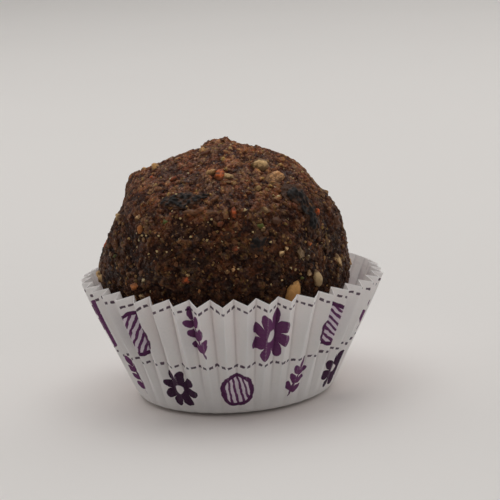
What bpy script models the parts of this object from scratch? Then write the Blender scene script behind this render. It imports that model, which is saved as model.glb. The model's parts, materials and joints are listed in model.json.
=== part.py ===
"""A flaxseed laddu in its fluted paper case.

The laddu is a hand-pressed ball of dates, chopped nuts and ground flax. It stands in a small case
that is pleated from one flat disc of thin paper.

Metres, +Z up. The origin is the middle of the case's base, on the table. -Y is the front.
Azimuths are in degrees from the front, positive towards +X, and elevations are from level.
"""

import math
import random

import bmesh
import bpy
from mathutils import Matrix, Vector, noise

MM = 0.001

# The case: a disc of paper whose rim is gathered into flutes
FLUTES = 42
CASE_BASE_RADIUS = 16.4 * MM
CASE_RIM_RADIUS = 25.0 * MM
PAPER_SLANT = 21.0 * MM
PAPER_THICKNESS = 0.3 * MM
COLUMNS_PER_FLUTE = 6
WALL_ROWS = (0.03, 0.25, 0.6, 1.0)
FLAT_BASE_SHARE = 0.955
RIM_SHIFT_X = 0.44 * MM
RIM_LEAN_X = -0.028
RIM_LEAN_Y = -0.036
RIM_FLUTE_DEPTH = 1.95 * MM
FLUTE_ROUNDING = 0.35
# How far each fold strays, along the rim in flutes and towards or from the middle
FOLD_SEED = 11
FOLD_SLIP = 0.07
FOLD_PULL = 0.22 * MM

# The laddu: a ball with pressed faces, standing on the case's base
CLEARANCE = 0.3 * MM
LADDU_RADIUS = 20.95 * MM
LADDU_CENTRE = Vector((-0.68 * MM, 0.0, 21.6 * MM))
LADDU_SUBDIVISIONS = 5
FACE_BLEND = 0.9 * MM
LEAST_FACING = 0.5
# Each pressed face: azimuth, elevation, distance from the laddu's centre in mm
PRESSED_FACES = (
    (-95.0, 26.5, 18.85),
    (-124.0, 67.0, 18.6),
    (-28.0, 60.0, 19.3),
    (128.0, 64.0, 19.0),
    (28.0, 58.0, 19.4),
    (165.0, 83.0, 19.4),
    (97.0, 40.0, 19.85),
    (95.0, 2.0, 20.1),
    (0.0, 10.0, 20.2),
    (52.0, 14.0, 20.35),
    (-48.0, 12.0, 20.3),
    (155.0, 24.0, 19.7),
    (-150.0, 18.0, 20.0),
    (-90.0, -24.0, 19.25),
    (-58.0, -22.0, 19.6),
    (-122.0, -22.0, 19.6),
    (-28.0, -20.0, 19.9),
    (175.0, -20.0, 20.2),
)
# The shoulder is the corner that sticks out between two pressed faces on the left
SHOULDER = (-103.0, 42.5)
SHOULDER_HEIGHT = 1.2 * MM
SHOULDER_SPREAD = 0.13
# The crag is a scrap of the mix that stands up on the top
CRAG = (178.0, 79.5)
CRAG_HEIGHT = 0.6 * MM
CRAG_HALF_WIDTH = 2.9 * MM
CRAG_STEEPNESS = 2.0
# Relief of the pressed mix: height and length of each wave
RELIEF = ((0.34 * MM, 7.0 * MM), (0.2 * MM, 3.4 * MM))

# Chips that show: azimuth, elevation, length and width in mm, and spin in degrees
CHIPS_IN_VIEW = (
    (44.1, 49.3, 3.5, 2.2, 10.0),
    (40.6, 58.7, 3.4, 2.0, -15.0),
    (31.4, -4.9, 4.2, 2.5, 62.0),
    (46.3, -2.0, 3.2, 2.1, 80.0),
    (2.2, 54.6, 2.2, 1.8, 30.0),
    (8.1, 53.6, 1.9, 1.5, -20.0),
    (37.6, 11.0, 2.3, 1.4, 85.0),
    (26.0, 44.3, 1.8, 1.4, 0.0),
    (-17.1, 7.4, 1.8, 1.4, 40.0),
    (-41.5, -4.4, 2.2, 1.5, 20.0),
    (-64.4, 29.3, 1.9, 1.5, 70.0),
    (-43.9, 27.1, 1.8, 1.2, 75.0),
    (8.3, 18.3, 1.6, 1.3, 0.0),
    (6.6, 34.7, 1.7, 1.1, 75.0),
)
CHIP_SEED = 7
CHIPS_ROUND_THE_REST = 26
CHIP_SEGMENTS = 6
CHIP_RINGS = 4
CHIP_SUNK_SHARE = 0.5
CHIP_THICKNESS_SHARE = 0.9
CHIP_UNEVENNESS = 0.12
LOWEST_CHIP_ELEVATION = -8.0
HIGHEST_CHIP_ELEVATION = 78.0
LONGEST_CHIP = 3.4
SHORTEST_CHIP = 1.6
CHIP_WIDTH_SHARES = (0.55, 0.85)
CHIP_SPACING_DEGREES = 13.0
FRONT_HALF_ANGLE = 62.0
FRONT_TOP_ELEVATION = 75.0
GOLDEN_ANGLE = 137.508


def direction_of(azimuth, elevation):
    """The unit vector that points this way from the laddu's centre."""
    turn = math.radians(azimuth)
    rise = math.radians(elevation)
    return Vector((math.cos(rise) * math.sin(turn), -math.cos(rise) * math.cos(turn), math.sin(rise)))


def smooth_min(first, second, blend):
    """The lesser of two lengths, with the corner between them rounded over blend."""
    share = max(0.0, min(1.0, 0.5 + 0.5 * (second - first) / blend))
    return second + (first - second) * share - blend * share * (1.0 - share)


def smooth_step(value):
    value = max(0.0, min(1.0, value))
    return value * value * (3.0 - 2.0 * value)


def laddu_radius(direction):
    """How far the laddu's surface lies from its centre in this direction."""
    radius = LADDU_RADIUS
    for azimuth, elevation, distance in PRESSED_FACES:
        facing = direction.dot(direction_of(azimuth, elevation))
        if facing > LEAST_FACING:
            radius = smooth_min(radius, distance * MM / facing, FACE_BLEND)
    for height, length in RELIEF:
        radius += height * noise.noise(direction * (LADDU_RADIUS / length))
    off_shoulder = direction.angle(direction_of(*SHOULDER))
    radius += SHOULDER_HEIGHT * math.exp(-((off_shoulder / SHOULDER_SPREAD) ** 2))
    aside = direction.angle(direction_of(*CRAG)) * LADDU_RADIUS
    radius += CRAG_HEIGHT * smooth_step(CRAG_STEEPNESS * (1.0 - aside / CRAG_HALF_WIDTH))
    return radius


def laddu_point(direction):
    return LADDU_CENTRE + direction * laddu_radius(direction)


def new_material(name, colour, roughness):
    """A Principled material. colour is linear RGB."""
    material = bpy.data.materials.new(name)
    material.use_nodes = True
    shader = material.node_tree.nodes["Principled BSDF"]
    shader.inputs["Base Color"].default_value = (*colour, 1.0)
    shader.inputs["Roughness"].default_value = roughness
    shader.inputs["Metallic"].default_value = 0.0
    material.diffuse_color = (*colour, 1.0)
    return material


def new_object(name, mesh_builder, collection, material):
    """An object whose mesh is the one in mesh_builder, a BMesh that is used up."""
    mesh = bpy.data.meshes.new(name)
    mesh_builder.to_mesh(mesh)
    mesh_builder.free()
    mesh.materials.append(material)
    made = bpy.data.objects.new(name, mesh)
    collection.objects.link(made)
    return made


def uneven_folds():
    """The slip and the pull of each of the case's folds, a groove and then a ridge for each flute."""
    rng = random.Random(FOLD_SEED)
    return [
        (rng.uniform(-FOLD_SLIP, FOLD_SLIP), rng.uniform(-FOLD_PULL, FOLD_PULL))
        for _ in range(2 * FLUTES)
    ]


def flute_phase(turn):
    """0 in a flute's groove and 1 on its ridge, half a flute on: a zigzag with rounded folds."""
    zigzag = 1.0 - abs(2.0 * (turn % 1.0) - 1.0)
    wave = 0.5 - 0.5 * math.cos(2.0 * math.pi * turn)
    return zigzag + (wave - zigzag) * FLUTE_ROUNDING


def flute_depth(share, mean_radius):
    """The depth at which the zigzag uses up the paper that the flat disc has at this share of the wall."""
    flat_pitch = 2.0 * math.pi * (CASE_BASE_RADIUS + PAPER_SLANT * share) / FLUTES
    pitch = 2.0 * math.pi * mean_radius / FLUTES
    return min(RIM_FLUTE_DEPTH, 0.5 * math.sqrt(flat_pitch**2 - pitch**2))


def wall_point(share, turn, folds):
    """A point of the case's wall. share is 0 at the base and 1 at the rim, and turn counts flutes."""
    fold = math.floor(2.0 * turn)
    part = 2.0 * turn - fold
    slip, pull = folds[fold % len(folds)]
    next_slip, next_pull = folds[(fold + 1) % len(folds)]
    slipped = turn + share * (slip + (next_slip - slip) * part)
    mean_rim_radius = CASE_RIM_RADIUS - 0.5 * RIM_FLUTE_DEPTH
    mean_radius = CASE_BASE_RADIUS + (mean_rim_radius - CASE_BASE_RADIUS) * share
    radius = mean_radius + flute_depth(share, mean_radius) * (flute_phase(turn) - 0.5)
    radius += share * (pull + (next_pull - pull) * part)
    length = PAPER_SLANT * share
    height = math.sqrt(max(0.0, length**2 - (radius - CASE_BASE_RADIUS) ** 2))
    angle = 2.0 * math.pi * slipped / FLUTES
    x = radius * math.sin(angle)
    y = -radius * math.cos(angle)
    lean = share * (RIM_LEAN_X * x + RIM_LEAN_Y * y)
    return Vector((x + RIM_SHIFT_X * share, y, height + lean))


def make_paper_case(collection, material):
    """The case: a flat round base whose edge is drawn up, row by row, into the fluted wall."""
    builder = bmesh.new()
    columns = FLUTES * COLUMNS_PER_FLUTE
    column_layer = builder.verts.layers.int.new("column")
    bmesh.ops.create_circle(
        builder,
        cap_ends=True,
        segments=columns,
        radius=CASE_BASE_RADIUS * FLAT_BASE_SHARE,
    )
    for vertex in builder.verts:
        turn = math.atan2(vertex.co.x, -vertex.co.y) / (2.0 * math.pi)
        vertex[column_layer] = round(turn * columns) % columns
    folds = uneven_folds()
    edge = list(builder.edges)
    for share in WALL_ROWS:
        drawn = bmesh.ops.extrude_edge_only(builder, edges=edge)["geom"]
        row = {item for item in drawn if isinstance(item, bmesh.types.BMVert)}
        edge = [item for item in drawn if isinstance(item, bmesh.types.BMEdge) and row.issuperset(item.verts)]
        for vertex in row:
            vertex.co = wall_point(share, vertex[column_layer] / COLUMNS_PER_FLUTE, folds)
    bmesh.ops.recalc_face_normals(builder, faces=builder.faces)
    base = min(builder.faces, key=lambda face: face.calc_center_median().z)
    if base.normal.z > 0:
        bmesh.ops.reverse_faces(builder, faces=builder.faces)
    case = new_object("paper_case", builder, collection, material)
    wall = case.modifiers.new("paper", "SOLIDIFY")
    wall.thickness = PAPER_THICKNESS
    wall.offset = -1.0
    case.data.shade_smooth()
    return case


def chips_round_the_rest(rng):
    """Chips spread evenly where the view from the front doesn't reach, the largest first."""
    chips = []
    step = 0
    while len(chips) < CHIPS_ROUND_THE_REST:
        step += 1
        azimuth = (step * GOLDEN_ANGLE) % 360.0 - 180.0
        elevation = rng.uniform(LOWEST_CHIP_ELEVATION, HIGHEST_CHIP_ELEVATION)
        shown = abs(azimuth) < FRONT_HALF_ANGLE and elevation < FRONT_TOP_ELEVATION
        near = min(
            math.degrees(direction_of(azimuth, elevation).angle(direction_of(other[0], other[1])))
            for other in CHIPS_IN_VIEW + tuple(chips)
        )
        if shown or near < CHIP_SPACING_DEGREES:
            continue
        length = LONGEST_CHIP - (LONGEST_CHIP - SHORTEST_CHIP) * len(chips) / CHIPS_ROUND_THE_REST
        width = length * rng.uniform(*CHIP_WIDTH_SHARES)
        chips.append((azimuth, elevation, length, width, rng.uniform(0.0, 180.0)))
    return chips


def make_chip(number, chip, rng, collection):
    """One nut chip, sunk past its middle into the laddu's surface."""
    azimuth, elevation, length, width, spin = chip
    direction = direction_of(azimuth, elevation)
    thickness = width * CHIP_THICKNESS_SHARE
    builder = bmesh.new()
    bmesh.ops.create_uvsphere(builder, u_segments=CHIP_SEGMENTS, v_segments=CHIP_RINGS, radius=0.5 * MM)
    for vertex in builder.verts:
        vertex.co *= 1.0 + rng.uniform(-CHIP_UNEVENNESS, CHIP_UNEVENNESS)
    turned = direction.to_track_quat("Z", "Y").to_matrix().to_4x4()
    place = laddu_point(direction) - direction * 0.5 * thickness * MM * CHIP_SUNK_SHARE
    bmesh.ops.transform(
        builder,
        matrix=Matrix.Translation(place)
        @ turned
        @ Matrix.Rotation(math.radians(spin), 4, "Z")
        @ Matrix.Diagonal((length, width, thickness, 1.0)),
        verts=builder.verts,
    )
    mesh = bpy.data.meshes.new(f"chip_{number}")
    builder.to_mesh(mesh)
    builder.free()
    made = bpy.data.objects.new(f"chip_{number}", mesh)
    collection.objects.link(made)


def make_laddu(collection, chip_collection, material):
    """The laddu: a sphere pushed out to its uneven form, with its chips joined on."""
    builder = bmesh.new()
    bmesh.ops.create_icosphere(builder, subdivisions=LADDU_SUBDIVISIONS, radius=1.0)
    lowest = PAPER_THICKNESS + CLEARANCE
    for vertex in builder.verts:
        vertex.co = laddu_point(vertex.co.normalized())
        vertex.co.z = max(vertex.co.z, lowest)
    laddu = new_object("laddu", builder, collection, material)
    rng = random.Random(CHIP_SEED)
    for number, chip in enumerate(list(CHIPS_IN_VIEW) + chips_round_the_rest(rng)):
        make_chip(number, chip, rng, chip_collection)
    join = laddu.modifiers.new("chips", "BOOLEAN")
    join.operation = "UNION"
    join.operand_type = "COLLECTION"
    join.collection = chip_collection
    join.solver = "EXACT"
    bpy.context.view_layer.update()
    joined = bpy.data.meshes.new_from_object(laddu.evaluated_get(bpy.context.evaluated_depsgraph_get()))
    laddu.modifiers.clear()
    laddu.data = joined
    joined.name = "laddu"
    for chip in list(chip_collection.objects):
        bpy.data.objects.remove(chip)
    joined.shade_smooth()
    return laddu


def main():
    for old in list(bpy.data.objects):
        bpy.data.objects.remove(old)
    collection = bpy.data.collections.new("flaxseed_laddu")
    bpy.context.scene.collection.children.link(collection)
    chip_collection = bpy.data.collections.new("laddu_chips")
    bpy.context.scene.collection.children.link(chip_collection)
    paste = new_material("date_and_flax_paste", (0.062, 0.026, 0.013), 0.6)
    paper = new_material("case_paper", (0.72, 0.7, 0.68), 0.8)
    make_paper_case(collection, paper)
    make_laddu(collection, chip_collection, paste)
    bpy.data.collections.remove(chip_collection)


main()
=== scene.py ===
import json
import math
import random

import bpy
from mathutils import Matrix, Vector, noise

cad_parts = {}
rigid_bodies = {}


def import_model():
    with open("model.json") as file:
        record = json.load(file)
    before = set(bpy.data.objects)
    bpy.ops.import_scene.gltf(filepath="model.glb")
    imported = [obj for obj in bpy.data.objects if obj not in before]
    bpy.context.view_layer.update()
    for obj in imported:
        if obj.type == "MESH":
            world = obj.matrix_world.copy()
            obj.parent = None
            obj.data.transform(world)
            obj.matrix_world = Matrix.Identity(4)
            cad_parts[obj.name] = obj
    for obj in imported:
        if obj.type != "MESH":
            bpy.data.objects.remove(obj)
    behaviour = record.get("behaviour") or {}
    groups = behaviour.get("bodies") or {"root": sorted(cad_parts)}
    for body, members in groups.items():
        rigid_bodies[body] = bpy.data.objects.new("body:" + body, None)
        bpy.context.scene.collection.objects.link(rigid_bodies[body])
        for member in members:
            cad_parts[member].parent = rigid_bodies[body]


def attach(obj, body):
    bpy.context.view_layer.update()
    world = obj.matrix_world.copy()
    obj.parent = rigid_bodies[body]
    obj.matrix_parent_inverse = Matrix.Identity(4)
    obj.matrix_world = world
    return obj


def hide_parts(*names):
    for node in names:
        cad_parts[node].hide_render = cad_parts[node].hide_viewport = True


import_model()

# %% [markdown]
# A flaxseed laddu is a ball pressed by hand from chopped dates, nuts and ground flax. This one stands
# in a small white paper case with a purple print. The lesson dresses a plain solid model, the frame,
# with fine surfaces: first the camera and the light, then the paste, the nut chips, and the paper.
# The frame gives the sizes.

MM = 0.001
SCENE = bpy.context.scene
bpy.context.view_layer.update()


def deselect_all():
    """Leaves nothing selected, so that the next operator acts only on what it adds."""
    for item in bpy.context.view_layer.objects:
        item.select_set(False)
    bpy.context.view_layer.objects.active = None


def select_only(item):
    """Makes this the one piece that the next operator acts on."""
    deselect_all()
    item.select_set(True)
    bpy.context.view_layer.objects.active = item


# %% [markdown]
# The camera looks slightly down at the sweet from the front, through a long lens, so that the ball
# hides the middle of the case and the rim shows as a shallow oval. A camera in Blender looks along its
# own -Z, so a turn of 90 degrees about X makes it look level along +Y. Pitch, yaw and a slight roll
# are then applied in the camera's own order.

# %% Place the camera
CAMERA_PLACE = Vector((0.0, -300.0 * MM, 92.2 * MM))
CAMERA_PITCH = 12.98
CAMERA_YAW = 0.71
CAMERA_ROLL = -3.64
CAMERA_LENS = 134.2
CAMERA_SENSOR = 36.0
CAMERA_NEAREST = 0.01

camera_data = bpy.data.cameras.new("photo_camera")
camera_data.lens = CAMERA_LENS
camera_data.sensor_width = CAMERA_SENSOR
camera_data.clip_start = CAMERA_NEAREST
camera = bpy.data.objects.new("photo_camera", camera_data)
SCENE.collection.objects.link(camera)
camera.matrix_world = (
    Matrix.Translation(CAMERA_PLACE)
    @ Matrix.Rotation(math.radians(-CAMERA_YAW), 4, "Z")
    @ Matrix.Rotation(math.radians(90.0 - CAMERA_PITCH), 4, "X")
    @ Matrix.Rotation(math.radians(CAMERA_ROLL), 4, "Z")
)
SCENE.camera = camera
print("camera is", round(CAMERA_PLACE.length / MM), "mm from the case")

# %% [markdown]
# The sweet was lit from above and a little behind: its top is light, its front dark, and the paper's
# front lies in its own shade. A large area light gives that soft top light, and a dim world fills the
# front. A weak light in front is the window of the room, which makes the moist crumbs glisten. Two
# weak lights at the sides stand for its pale walls, and lighten the edges of the ball. The Standard
# view shows colours as they are mixed.

# %% Light the set
ROOM_COLOUR = (1.0, 0.975, 0.95, 1.0)
ROOM_STRENGTH = 0.12
# Each light: name, place, what it faces, length of its side in m, power in W, and colour
LIGHTS = (
    ("ceiling", (0.0, 0.24, 0.82), (0.0, 0.14, 0.0), 1.25, 6.4, (1.0, 0.985, 0.97)),
    ("window", (0.34, -0.48, 0.36), (0.0, 0.0, 0.02), 0.5, 0.36, (1.0, 0.975, 0.955)),
    ("left_wall", (-0.5, 0.2, 0.2), (0.0, 0.0, 0.03), 0.4, 0.42, (1.0, 0.98, 0.96)),
    ("right_wall", (0.5, 0.2, 0.2), (0.0, 0.0, 0.03), 0.4, 0.34, (1.0, 0.98, 0.96)),
)

SCENE.view_settings.view_transform = "Standard"
SCENE.view_settings.look = "None"

world = bpy.data.worlds.new("dim_room")
SCENE.world = world
world.use_nodes = True
room = world.node_tree.nodes["Background"]
room.inputs["Color"].default_value = ROOM_COLOUR
room.inputs["Strength"].default_value = ROOM_STRENGTH


def add_area_light(name, place, target, size, power, colour):
    """A square soft light that faces the target."""
    light = bpy.data.lights.new(name, "AREA")
    light.size = size
    light.energy = power
    light.color = colour
    lamp = bpy.data.objects.new(name, light)
    SCENE.collection.objects.link(lamp)
    aim = (Vector(target) - Vector(place)).to_track_quat("-Z", "Y")
    lamp.matrix_world = Matrix.Translation(Vector(place)) @ aim.to_matrix().to_4x4()


for light in LIGHTS:
    add_area_light(*light)

# %% [markdown]
# The floor is one sheet that runs back and bends up into a backdrop, as paper does in a studio, so no
# line shows where they meet. It starts as a plane. Its far edge is extruded back and up in steps
# along an arc.

# %% Make the floor sweep
FLOOR_HALF_WIDTH = 1.6
FLOOR_FRONT = -0.75
FLOOR_BACK = 0.95
SWEEP_RADIUS = 0.5
SWEEP_STEPS = 12
BACKDROP_TOP = 1.6

deselect_all()
bpy.ops.mesh.primitive_plane_add(size=2.0, location=(0.0, 0.0, 0.0))
sweep = bpy.context.object
sweep.name = "floor_sweep"
for vertex in sweep.data.vertices:
    vertex.co.x *= FLOOR_HALF_WIDTH
    vertex.co.y = FLOOR_BACK if vertex.co.y > 0 else FLOOR_FRONT
bpy.ops.object.mode_set(mode="EDIT")
bpy.ops.mesh.select_mode(type="VERT")
bpy.ops.mesh.select_all(action="DESELECT")
bpy.ops.object.mode_set(mode="OBJECT")
for vertex in sweep.data.vertices:
    vertex.select = vertex.co.y > 0
bpy.ops.object.mode_set(mode="EDIT")
for step in range(SWEEP_STEPS):
    start = 0.5 * math.pi * step / SWEEP_STEPS
    end = 0.5 * math.pi * (step + 1) / SWEEP_STEPS
    run = SWEEP_RADIUS * (math.sin(end) - math.sin(start))
    rise = SWEEP_RADIUS * (math.cos(start) - math.cos(end))
    bpy.ops.mesh.extrude_region_move(TRANSFORM_OT_translate={"value": (0.0, run, rise)})
bpy.ops.mesh.extrude_region_move(TRANSFORM_OT_translate={"value": (0.0, 0.0, BACKDROP_TOP)})
bpy.ops.object.mode_set(mode="OBJECT")
bpy.ops.object.shade_smooth()
print("floor sweep has", len(sweep.data.polygons), "faces")

# %% [markdown]
# Materials are networks of small nodes. These helpers keep them short: calc adds one Math node,
# vector_calc one Vector Math node, and new_group makes a node group with named sockets, so that an
# effect is built once and placed in each material with its own values.

# %% Define the node helpers
SCALAR_RESULTS = ("LENGTH", "DISTANCE", "DOT_PRODUCT")


def wire(tree, value, socket):
    """Links an output to the socket, or writes a plain value there."""
    if isinstance(value, bpy.types.NodeSocket):
        tree.links.new(value, socket)
    else:
        socket.default_value = value


def calc(tree, operation, *values, clamp=False):
    node = tree.nodes.new("ShaderNodeMath")
    node.operation = operation
    node.use_clamp = clamp
    for value, socket in zip(values, node.inputs):
        wire(tree, value, socket)
    return node.outputs["Value"]


def vector_calc(tree, operation, *values):
    node = tree.nodes.new("ShaderNodeVectorMath")
    node.operation = operation
    if operation == "SCALE":
        wire(tree, values[0], node.inputs[0])
        wire(tree, values[1], node.inputs["Scale"])
    else:
        for value, socket in zip(values, node.inputs):
            wire(tree, value, socket)
    return node.outputs["Value" if operation in SCALAR_RESULTS else "Vector"]


def ramp(tree, value, low, high, from_value=0.0, to_value=1.0):
    """Runs smoothly from from_value at low to to_value at high."""
    node = tree.nodes.new("ShaderNodeMapRange")
    node.interpolation_type = "SMOOTHSTEP"
    for amount, name in ((value, "Value"), (low, "From Min"), (high, "From Max")):
        wire(tree, amount, node.inputs[name])
    wire(tree, from_value, node.inputs["To Min"])
    wire(tree, to_value, node.inputs["To Max"])
    return node.outputs["Result"]


def noise_value(tree, vector, scale, detail=4.0, roughness=0.6):
    node = tree.nodes.new("ShaderNodeTexNoise")
    wire(tree, vector, node.inputs["Vector"])
    node.inputs["Scale"].default_value = scale
    node.inputs["Detail"].default_value = detail
    node.inputs["Roughness"].default_value = roughness
    return node.outputs["Fac"]


def mix_colour(tree, share, first, second, blend="MIX"):
    node = tree.nodes.new("ShaderNodeMix")
    node.data_type = "RGBA"
    node.blend_type = blend
    wire(tree, share, node.inputs[0])
    for value, socket in ((first, node.inputs[6]), (second, node.inputs[7])):
        wire(tree, value if isinstance(value, bpy.types.NodeSocket) else (*value, 1.0), socket)
    return node.outputs[2]


def colour_steps(tree, value, stops, smooth=True):
    """A colour ramp from (place, colour) stops."""
    node = tree.nodes.new("ShaderNodeValToRGB")
    node.color_ramp.interpolation = "LINEAR" if smooth else "CONSTANT"
    elements = node.color_ramp.elements
    while len(elements) < len(stops):
        elements.new(0.5)
    for element, (place, _) in zip(elements, stops):
        element.position = place
    for element, (_, colour) in zip(elements, stops):
        element.color = (*colour, 1.0)
    wire(tree, value, node.inputs["Fac"])
    return node.outputs["Color"]


def new_group(name, inputs, outputs):
    """A node group with these sockets. Returns it with its inner inputs and outputs."""
    tree = bpy.data.node_groups.new(name, "ShaderNodeTree")
    for label, kind, value in inputs:
        socket = tree.interface.new_socket(name=label, in_out="INPUT", socket_type=kind)
        if value is not None:
            socket.default_value = value
    for label, kind in outputs:
        tree.interface.new_socket(name=label, in_out="OUTPUT", socket_type=kind)
    return tree, tree.nodes.new("NodeGroupInput").outputs, tree.nodes.new("NodeGroupOutput").inputs


def use_group(tree, group, **values):
    """Places the group in a tree and sets the inputs named, with _ for a space."""
    node = tree.nodes.new("ShaderNodeGroup")
    node.node_tree = group
    for label, value in values.items():
        wire(tree, value, node.inputs[label.replace("_", " ")])
    return node.outputs


def new_material(name, roughness, **settings):
    """A material with a Principled shader. settings are constants for the shader's own sockets."""
    material = bpy.data.materials.new(name)
    material.use_nodes = True
    shader = material.node_tree.nodes["Principled BSDF"]
    shader.inputs["Roughness"].default_value = roughness
    for label, value in settings.items():
        shader.inputs[label.replace("_", " ")].default_value = value
    return material, material.node_tree, shader


def object_millimetres(tree):
    """The place on the piece, in millimetres."""
    return vector_calc(tree, "SCALE", tree.nodes.new("ShaderNodeTexCoord").outputs["Object"], 1.0 / MM)


print("node helpers ready")

# %% [markdown]
# The laddu was squeezed in a fist, so it is a ball with shallow flat faces. The plain model already
# has that form. The same rule is written again here, and a finer ball is moved onto it, because a
# close look needs the crumbs of the mix as well. A cube whose faces are divided evenly and then blown
# up to a ball gives square faces of one size, with no crowded poles.

# %% Shape the ball
LADDU_RADIUS = 20.95 * MM
LADDU_CENTRE = Vector((-0.68 * MM, 0.0, 21.6 * MM))
LADDU_LOWEST = 0.6 * MM
FACE_BLEND = 0.9 * MM
LEAST_FACING = 0.5
# Each pressed face: azimuth from the front, elevation, distance from the centre in mm
PRESSED_FACES = (
    (-95.0, 26.5, 18.85),
    (-124.0, 67.0, 18.6),
    (-28.0, 60.0, 19.3),
    (128.0, 64.0, 19.0),
    (28.0, 58.0, 19.4),
    (165.0, 83.0, 19.4),
    (97.0, 40.0, 19.85),
    (95.0, 2.0, 20.1),
    (0.0, 10.0, 20.2),
    (52.0, 14.0, 20.35),
    (-48.0, 12.0, 20.3),
    (155.0, 24.0, 19.7),
    (-150.0, 18.0, 20.0),
    (-90.0, -24.0, 19.25),
    (-58.0, -22.0, 19.6),
    (-122.0, -22.0, 19.6),
    (-28.0, -20.0, 19.9),
    (175.0, -20.0, 20.2),
)
SHOULDER = (-103.0, 42.5)
SHOULDER_HEIGHT = 1.2 * MM
SHOULDER_SPREAD = 0.13
CRAG = (178.0, 79.5)
CRAG_HEIGHT = 0.6 * MM
CRAG_HALF_WIDTH = 2.9 * MM
CRAG_STEEPNESS = 2.0
RELIEF = ((0.34 * MM, 7.0 * MM), (0.2 * MM, 3.4 * MM))
CRUMB_SIZE = 0.95 * MM
CRUMB_STEP = 0.2 * MM
CRUMB_BEND = 0.45 * MM
CRUMB_BEND_LENGTH = 1.1 * MM
CRUMB_NUMBERING = 7.31
PATCH_LENGTH = 4.5 * MM
PATCH_CONTRAST = 1.6
SCRAP = (150.0, 77.0)
SCRAP_HEIGHT = 0.4 * MM
SCRAP_HALF_WIDTH = 1.5 * MM
SCRAP_STEEPNESS = 3.0
CREVICE_DEPTH = 0.26 * MM
CREVICE_SHARE = 0.28
LEAST_CREVICE = 0.35
GRAIN_SIZE = 0.55 * MM
GRAIN_HEIGHT = 0.09 * MM
BALL_CUTS = 31
FINER_CUTS = 3
NOISE_SEED = 4

# noise_vector draws its offsets by chance, so without a seed the crumbs would differ in each run
noise.seed_set(NOISE_SEED)


def direction_of(azimuth, elevation):
    """The unit vector that points this way from the laddu's centre."""
    turn = math.radians(azimuth)
    rise = math.radians(elevation)
    return Vector((math.cos(rise) * math.sin(turn), -math.cos(rise) * math.cos(turn), math.sin(rise)))


FACES_TOWARDS = [(direction_of(azimuth, elevation), far * MM) for azimuth, elevation, far in PRESSED_FACES]
SHOULDER_TOWARDS = direction_of(*SHOULDER)
CRAG_TOWARDS = direction_of(*CRAG)
SCRAP_TOWARDS = direction_of(*SCRAP)


def smooth_min(first, second, blend):
    """The lesser of two lengths, with the corner between them rounded over blend."""
    share = max(0.0, min(1.0, 0.5 + 0.5 * (second - first) / blend))
    return second + (first - second) * share - blend * share * (1.0 - share)


def smooth_step(value):
    value = max(0.0, min(1.0, value))
    return value * value * (3.0 - 2.0 * value)


def laddu_radius(direction):
    """How far the laddu's surface lies from its centre in this direction, without its crumbs."""
    radius = LADDU_RADIUS
    for towards, distance in FACES_TOWARDS:
        facing = direction.dot(towards)
        if facing > LEAST_FACING:
            radius = smooth_min(radius, distance / facing, FACE_BLEND)
    for height, length in RELIEF:
        radius += height * noise.noise(direction * (LADDU_RADIUS / length))
    off_shoulder = direction.angle(SHOULDER_TOWARDS)
    radius += SHOULDER_HEIGHT * math.exp(-((off_shoulder / SHOULDER_SPREAD) ** 2))
    aside = direction.angle(CRAG_TOWARDS) * LADDU_RADIUS
    radius += CRAG_HEIGHT * smooth_step(CRAG_STEEPNESS * (1.0 - aside / CRAG_HALF_WIDTH))
    return radius


def crumbs(direction):
    """The height of the crumbs here, how deep in a crevice it is, and a number for the crumb."""
    place = direction * LADDU_RADIUS
    bent = place + CRUMB_BEND * noise.noise_vector(place / CRUMB_BEND_LENGTH)
    distances, points = noise.voronoi(bent / CRUMB_SIZE)
    crevice = 1.0 - smooth_step((distances[1] - distances[0]) / CREVICE_SHARE)
    crumb = noise.cell(points[0] * CRUMB_NUMBERING)
    patch = smooth_step(0.5 + PATCH_CONTRAST * noise.noise(place / PATCH_LENGTH))
    depth = CREVICE_DEPTH * crevice * (LEAST_CREVICE + (1.0 - LEAST_CREVICE) * patch)
    height = CRUMB_STEP * (crumb - 0.5) - depth
    height += GRAIN_HEIGHT * noise.noise(place / GRAIN_SIZE)
    aside = direction.angle(SCRAP_TOWARDS) * LADDU_RADIUS
    height += SCRAP_HEIGHT * smooth_step(SCRAP_STEEPNESS * (1.0 - aside / SCRAP_HALF_WIDTH))
    return height, crevice, crumb


deselect_all()
bpy.ops.mesh.primitive_cube_add(size=2.0, location=(0.0, 0.0, 0.0))
laddu = bpy.context.object
laddu.name = "laddu_paste"
bpy.ops.object.mode_set(mode="EDIT")
bpy.ops.mesh.select_all(action="SELECT")
bpy.ops.mesh.subdivide(number_cuts=BALL_CUTS)
bpy.ops.mesh.subdivide(number_cuts=FINER_CUTS)
bpy.ops.object.mode_set(mode="OBJECT")

crevice_layer = laddu.data.attributes.new("crevice", "FLOAT", "POINT")
crumb_layer = laddu.data.attributes.new("crumb", "FLOAT", "POINT")
quarter = 0.25 * math.pi
for vertex in laddu.data.vertices:
    direction = Vector([math.tan(part * quarter) for part in vertex.co]).normalized()
    height, crevice, crumb = crumbs(direction)
    vertex.co = LADDU_CENTRE + direction * (laddu_radius(direction) + height)
    vertex.co.z = max(vertex.co.z, LADDU_LOWEST)
    crevice_layer.data[vertex.index].value = crevice
    crumb_layer.data[vertex.index].value = crumb
bpy.ops.object.shade_smooth()
print("ball has", len(laddu.data.polygons), "faces, height", round(laddu.dimensions.z / MM, 1), "mm")

# %% [markdown]
# The paste is many things pressed together: dark dates, brown flax meal, paler nut meal. So its colour
# is mixed from cells of several sizes. A Voronoi texture splits space into cells, and each cell gets a
# colour by chance. The effect is a node group, so the meal and the chips can use it too.

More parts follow.
